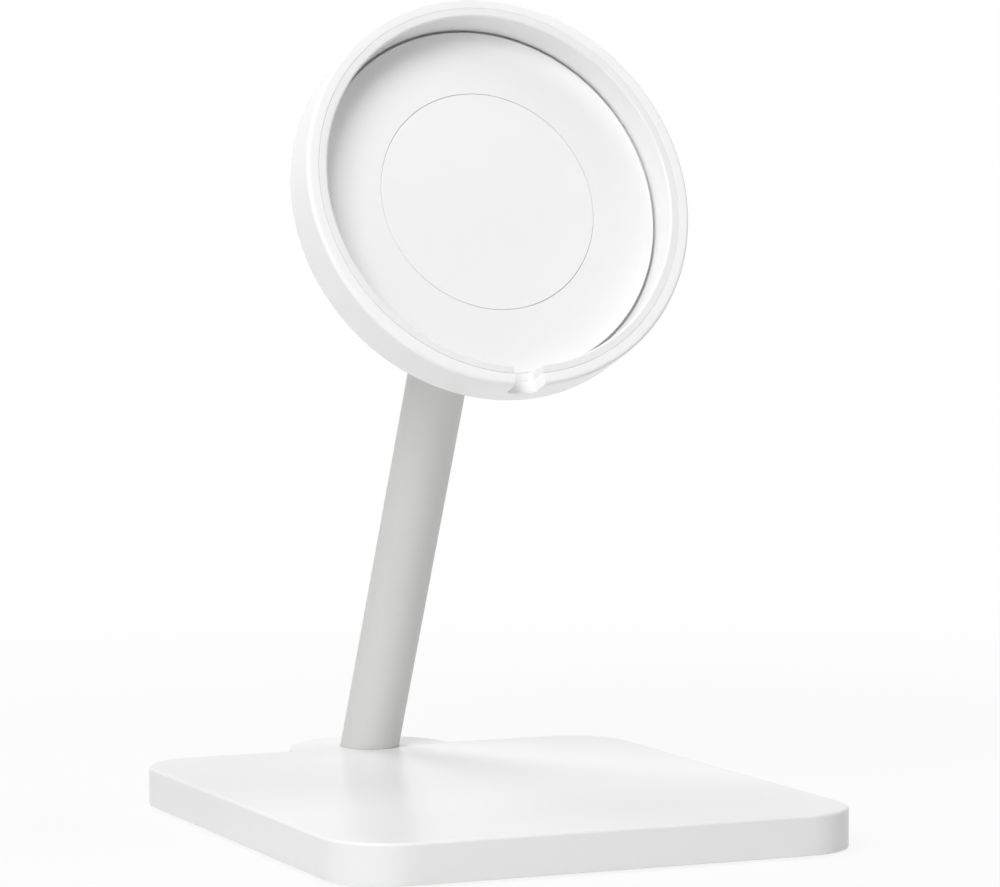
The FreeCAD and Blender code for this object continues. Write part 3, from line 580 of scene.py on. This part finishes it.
# ---------------------------------------------------------------- Hinge screw, nut and washers
# A shoulder screw is the hinge's axle. Its nut and a dished washer press the lugs on two washers of
# black plastic beside the tongue, whose friction holds the head. The rest is zinc-plated steel.
SCREW_HEAD_RADIUS = 2.8
SCREW_HEAD_END = -5.55
SCREW_RADIUS = 1.5
THREAD_RADIUS = 1.25
THREAD_END = 5.55
SCREW_KEY = 2.0
SCREW_SOCKET = 0.9
SCREW_EDGE = 0.2
NUT_FLATS = 5.0
NUT_START = 3.95
NUT_HOLE = 1.3
NUT_EDGE = 0.2

hinge_screw = turned("hinge_screw_turned", [
    (SCREW_HEAD_RADIUS, SCREW_HEAD_END),
    (SCREW_HEAD_RADIUS, -HEAD_SEAT),
    (SCREW_RADIUS, -HEAD_SEAT),
    (SCREW_RADIUS, NUT_SEAT),
    (THREAD_RADIUS, NUT_SEAT),
    (THREAD_RADIUS, THREAD_END),
], AXLE_SIDES)
pick("EDGE", lambda edge, middle: circle_at(SCREW_HEAD_RADIUS, SCREW_HEAD_END)(edge, middle)
     or circle_at(THREAD_RADIUS, THREAD_END)(edge, middle))
bevel(SCREW_EDGE, EDGE_STEPS)
socket = hex_rod("screw_socket", SCREW_KEY, SCREW_HEAD_END - CUT_SPARE,
                 SCREW_HEAD_END + SCREW_SOCKET)
work(hinge_screw, socket, "DIFFERENCE")
lay(hinge_screw, (0, 0, AXLE_Z))
head_seat(hinge_screw)
smooth(hinge_screw)
fit(hinge_screw, zinc, "head", "steel", "hinge_screw")

hinge_nut = hex_rod("hinge_nut_hex", NUT_FLATS, NUT_START, THREAD_END)
pick("EDGE", lambda edge, middle: True)
bevel(NUT_EDGE, CHAMFER_STEPS)
hole = rod("nut_hole", NUT_HOLE, 0, DRILL_REACH, DRILL_SIDES)
work(hinge_nut, hole, "DIFFERENCE")
lay(hinge_nut, (0, 0, AXLE_Z))
head_seat(hinge_nut)
smooth(hinge_nut)
fit(hinge_nut, zinc, "head", "steel", "hinge_nut")

black_plastic = finish("black_washer_plastic", dark=(0.03, 0.03, 0.03), light=(0.05, 0.05, 0.05),
                       rough=(0.4, 0.5), grain=3000, depth=0.005)
dress("friction_washers", black_plastic)
dress("spring_washer", zinc)

# ---------------------------------------------------------------- Head shell
# The outer cup of the head, moulded in white plastic with a fine satin surface and round edges.
# A notch at its lowest point lets a puck's cable out, and its screws go through into the bracket.
HEAD_RADIUS = 31.498
HEAD_FRONT = 8.5
SHELL_BORE = 29.63
SHELL_FLOOR = 1.6
SHELL_BACK_EDGE = 1.2
SHELL_FRONT_EDGE = 0.6
PARTING_EDGE = 0.11
PARTING_ROOM = 0.1
ROUND_STEPS = 8
NOTCH_HALF = 2.35
NOTCH_FLOOR = 4.4
NOTCH_CORNER = 0.8
NOTCH_EDGE = 0.15
NOTCH_SHARP = 40
HEAD_SIDES = 288
BRACKET_SCREW_SPREAD = 4.9497
BRACKET_SCREW_HOLE = 1.05
BRACKET_SCREW_SINK = 1.95
BRACKET_SCREW_SIDES = 32


def notch_edge(edge, middle):
    """A test for the sharp edges that the notch leaves, except in the joint of shell and ring."""
    in_notch = abs(middle.x) < NOTCH_HALF + CLOSE and middle.z > NOTCH_FLOOR - CLOSE
    at_bottom = middle.y < HEAD_FRONT - HEAD_RADIUS
    sharp = edge.calc_face_angle(0) > math.radians(NOTCH_SHARP)
    in_joint = abs(middle.xy.length - SHELL_BORE) <= PARTING_ROOM
    on_cut = any(abs(abs(v.co.x) / MM - NOTCH_HALF) < CLOSE
                 or v.co.z / MM < NOTCH_FLOOR + NOTCH_CORNER for v in edge.verts)
    return in_notch and at_bottom and sharp and on_cut and not in_joint


def soften_notch():
    """Rounds the edges that the notch leaves, as a mould does."""
    bpy.ops.object.mode_set(mode="EDIT")
    close_up()
    pick("EDGE", notch_edge)
    bevel(NOTCH_EDGE, EDGE_STEPS)


notch = block("notch_tool", NOTCH_HALF, HEAD_FRONT, HEAD_FRONT)
shift(y=-HEAD_RADIUS, z=NOTCH_FLOOR + HEAD_FRONT)
pick("EDGE", lambda edge, middle: middle.z < NOTCH_FLOOR + CLOSE
     and abs(middle.x) > NOTCH_HALF - CLOSE)
bevel(NOTCH_CORNER, ROUND_STEPS)

head_shell = turned("head_shell_moulded", [
    (HEAD_RADIUS, 0),
    (HEAD_RADIUS, HEAD_FRONT),
    (SHELL_BORE, HEAD_FRONT),
    (SHELL_BORE, SHELL_FLOOR),
], HEAD_SIDES)
pick("EDGE", circle_at(HEAD_RADIUS, 0))
bevel(SHELL_BACK_EDGE, ROUND_STEPS)
pick("EDGE", circle_at(HEAD_RADIUS, HEAD_FRONT))
bevel(SHELL_FRONT_EDGE, ROUND_STEPS)
pick("EDGE", circle_at(SHELL_BORE, HEAD_FRONT))
bevel(PARTING_EDGE, CHAMFER_STEPS)
work(head_shell, notch, "DIFFERENCE", keep=True)
soften_notch()
for side_x in (-1, 1):
    for side_y in (-1, 1):
        hole = turned("screw_hole", [
            (BRACKET_SCREW_HOLE, -CUT_SPARE),
            (BRACKET_SCREW_HOLE, SHELL_FLOOR - BRACKET_SCREW_SINK + BRACKET_SCREW_HOLE),
            (BRACKET_SCREW_SINK + CUT_SPARE, SHELL_FLOOR + CUT_SPARE),
        ], BRACKET_SCREW_SIDES)
        spot = (side_x * BRACKET_SCREW_SPREAD, side_y * BRACKET_SCREW_SPREAD, 0)
        seat(hole, spot, (0, 0, 0))
        work(head_shell, hole, "DIFFERENCE")
head_seat(head_shell)
smooth(head_shell)
satin_white = finish("satin_white_moulding", dark=(0.94, 0.94, 0.94), light=(0.955, 0.955, 0.955),
                     rough=(0.22, 0.28), grain=3500, depth=0.003)
fit(head_shell, satin_white, "head", "head_white", "head_shell")
dress("bracket_screws", zinc)

# ---------------------------------------------------------------- Rim liner
# The ring inside the cup, a white moulding that shows as the lip with a fine line round it.
# Its wall holds the puck and is undercut below the floor, and its foot lies under the floor disc.
LINER_OUTER = 29.62
LINER_INNER = 28.25
LINER_FOOT = 25.25
DISC_BOTTOM = 2.0
LIP_RADIUS = 0.4
LINER_SEAM_EDGE = 0.02
UNDERCUT_TOP = 2.85
UNDERCUT_DEPTH = 0.5

rim_liner = turned("rim_liner_moulded", [
    (LINER_FOOT, SHELL_FLOOR),
    (LINER_OUTER, SHELL_FLOOR),
    (LINER_OUTER, HEAD_FRONT),
    (LINER_INNER, HEAD_FRONT),
    (LINER_INNER, UNDERCUT_TOP),
    (LINER_INNER + UNDERCUT_DEPTH, UNDERCUT_TOP - UNDERCUT_DEPTH),
    (LINER_INNER + UNDERCUT_DEPTH, DISC_BOTTOM),
    (LINER_FOOT, DISC_BOTTOM),
    (LINER_FOOT, SHELL_FLOOR),
], HEAD_SIDES, ring=True)
pick("EDGE", circle_at(LINER_INNER, HEAD_FRONT))
bevel(LIP_RADIUS, ROUND_STEPS)
pick("EDGE", circle_at(LINER_OUTER, HEAD_FRONT))
bevel(LINER_SEAM_EDGE, CHAMFER_STEPS)
work(rim_liner, notch, "DIFFERENCE")
soften_notch()
head_seat(rim_liner)
smooth(rim_liner)
liner_white = finish("liner_white_moulding", dark=(0.87, 0.87, 0.87), light=(0.885, 0.885, 0.885),
                     rough=(0.2, 0.26), grain=3500, depth=0.003, shine=0.7)
fit(rim_liner, liner_white, "head", "liner_white", "rim_liner")

# ---------------------------------------------------------------- Floor disc
# The floor of the cup: a thin white disc held by a ring of tape, with a narrow gap round its edge.
# It has a fine matt surface and a shallow seat in its middle for the centre pad.
DISC_RADIUS = 27.85
DISC_TOP = 3.0
DISC_EDGE = 0.1
CENTRE_RADIUS = 17.66
CENTRE_SEAT = 2.5
SEAT_EDGE = 0.04

floor_disc = turned("floor_disc_matt", [
    (DISC_RADIUS, DISC_BOTTOM),
    (DISC_RADIUS, DISC_TOP),
    (CENTRE_RADIUS, DISC_TOP),
    (CENTRE_RADIUS, CENTRE_SEAT),
], HEAD_SIDES)
pick("EDGE", circle_at(DISC_RADIUS, DISC_TOP))
bevel(DISC_EDGE, EDGE_STEPS)
pick("EDGE", circle_at(CENTRE_RADIUS, DISC_TOP))
bevel(SEAT_EDGE, CHAMFER_STEPS)
head_seat(floor_disc)
smooth(floor_disc)
disc_white = finish("disc_matt_white", dark=(0.91, 0.91, 0.91), light=(0.925, 0.925, 0.925),
                    rough=(0.5, 0.6), grain=5000, depth=0.005)
fit(floor_disc, disc_white, "head", "floor_white", "floor_disc")

tape_film = finish("tape_film", dark=(0.76, 0.76, 0.74), light=(0.8, 0.8, 0.78),
                   rough=(0.5, 0.6), grain=1500, depth=0.01)
dress("disc_tape", tape_film)

# ---------------------------------------------------------------- Centre pad
# A thin round pad let in flush with the floor, whose edge shows as a fine circle.
# It is a soft white elastomer that keeps the back of the puck from sliding.
PAD_RADIUS = 17.58
PAD_BEVEL = 0.1

centre_pad = turned("centre_pad_soft", [
    (PAD_RADIUS, CENTRE_SEAT),
    (PAD_RADIUS, DISC_TOP),
], HEAD_SIDES)
pick("EDGE", circle_at(PAD_RADIUS, DISC_TOP))
bevel(PAD_BEVEL, EDGE_STEPS)
head_seat(centre_pad)
smooth(centre_pad)
pad_white = finish("pad_soft_white", dark=(0.92, 0.92, 0.92), light=(0.93, 0.93, 0.93),
                   rough=(0.55, 0.65), grain=6000, depth=0.005)
fit(centre_pad, pad_white, "head", "pad_white", "centre_pad")

# ---------------------------------------------------------------- Studio
# A pale floor that keeps the stand's shadow and turns to white paper further out, in a dim room.
# A large soft lamp stands high in front on the left, and weaker ones fill from above and the sides.
# The large lamp's gleam is a weaker lamp in its place, so that satin paint doesn't burn out.
CAMERA_SPOT = (-243.70, -556.20, 95.94)
CAMERA_YAW = math.radians(23.851)
CAMERA_PITCH = math.radians(-3.433)
CAMERA_LENS = 141.84
CAMERA_SENSOR = 36.0
CAMERA_CLIP = (10, 100000)
FLOOR_SIZE = 40000
FLOOR_DROP = 0.02
FLOOR_TONE = (0.8, 0.8, 0.8, 1)
PAPER_START = 100
PAPER_END = 400
PAPER_SHARE = 0.88
ROOM_TONE = (1, 1, 1, 1)
ROOM_LIGHT = 0.07
KEY_SPOT = (-900, -900, 1000)
KEY_AIM = (0, 0, 50)
KEY_SIZE = 900
FILL_AIM = (0, 0, 60)
FILL_SIZE = 350


def background_rays(tree):
    """A value that is 1 for rays that show the background, and 0 for those that light the part."""
    rays = tree.nodes.new("ShaderNodeLightPath")
    shown = rays.outputs["Is Camera Ray"]
    for other in ("Is Glossy Ray", "Is Transmission Ray"):
        either = tree.nodes.new("ShaderNodeMath")
        either.operation = "MAXIMUM"
        tree.links.new(shown, either.inputs[0])
        tree.links.new(rays.outputs[other], either.inputs[1])
        shown = either.outputs["Value"]
    return shown


put_down()
bpy.ops.mesh.primitive_plane_add(size=FLOOR_SIZE * MM, location=(0, 0, -FLOOR_DROP * MM))
studio_floor = bpy.context.object
studio_floor.name = "studio_floor"
paper = bpy.data.materials.new("studio_paper")
paper.use_nodes = True
nodes = paper.node_tree.nodes
links = paper.node_tree.links
lit = nodes["Principled BSDF"]
lit.inputs["Base Color"].default_value = FLOOR_TONE
lit.inputs["Specular IOR Level"].default_value = 0.0
glow = nodes.new("ShaderNodeEmission")
place = nodes.new("ShaderNodeTexCoord")
distance = nodes.new("ShaderNodeVectorMath")
distance.operation = "LENGTH"
whiteness = nodes.new("ShaderNodeMapRange")
whiteness.interpolation_type = "SMOOTHSTEP"
whiteness.inputs["From Min"].default_value = PAPER_START * MM
whiteness.inputs["From Max"].default_value = PAPER_END * MM
whiteness.inputs["To Min"].default_value = PAPER_SHARE
share = nodes.new("ShaderNodeMath")
share.operation = "MULTIPLY"
blend = nodes.new("ShaderNodeMixShader")
links.new(place.outputs["Object"], distance.inputs[0])
links.new(distance.outputs["Value"], whiteness.inputs["Value"])
links.new(whiteness.outputs["Result"], share.inputs[0])
links.new(background_rays(paper.node_tree), share.inputs[1])
links.new(share.outputs["Value"], blend.inputs["Fac"])
links.new(lit.outputs["BSDF"], blend.inputs[1])
links.new(glow.outputs["Emission"], blend.inputs[2])
links.new(blend.outputs["Shader"], nodes["Material Output"].inputs["Surface"])
studio_floor.data.materials.append(paper)

room = bpy.data.worlds.new("studio_room")
room.use_nodes = True
bpy.context.scene.world = room
nodes = room.node_tree.nodes
links = room.node_tree.links
light = nodes["Background"]
light.inputs["Color"].default_value = ROOM_TONE
strength = nodes.new("ShaderNodeMapRange")
strength.inputs["To Min"].default_value = ROOM_LIGHT
links.new(background_rays(room.node_tree), strength.inputs["Value"])
links.new(strength.outputs["Result"], light.inputs["Strength"])


def lamp(name, spot, aim, size, power, mirrored=False):
    """A square soft lamp turned to a point, that lights surfaces or only shows in their gloss."""
    bpy.ops.object.light_add(type="AREA", location=[c * MM for c in spot])
    source = bpy.context.object
    source.name = name
    source.data.shape = "SQUARE"
    source.data.size = size * MM
    source.data.energy = power
    source.visible_glossy = mirrored
    source.visible_diffuse = not mirrored
    towards = Vector(aim) - Vector(spot)
    source.rotation_euler = towards.to_track_quat("-Z", "Y").to_euler()


lamp("key_lamp", KEY_SPOT, KEY_AIM, KEY_SIZE, power=18.9)
lamp("key_gleam", KEY_SPOT, KEY_AIM, KEY_SIZE, power=6.0, mirrored=True)
lamp("top_right_lamp", (293, -169, 785), FILL_AIM, FILL_SIZE, power=1.3)
lamp("top_back_lamp", (-150, 300, 785), FILL_AIM, FILL_SIZE, power=2.3)
lamp("side_lamp", (645, -114, 519), FILL_AIM, FILL_SIZE, power=0.6)
lamp("left_lamp", (-748, -272, 144), FILL_AIM, size=220, power=0.2)

bpy.ops.object.camera_add(location=[c * MM for c in CAMERA_SPOT],
                          rotation=(math.pi / 2 + CAMERA_PITCH, 0, -CAMERA_YAW))
camera = bpy.context.object
camera.data.lens = CAMERA_LENS
camera.data.sensor_width = CAMERA_SENSOR
camera.data.clip_start, camera.data.clip_end = (c * MM for c in CAMERA_CLIP)
bpy.context.scene.camera = camera
bpy.context.scene.view_settings.view_transform = "Standard"
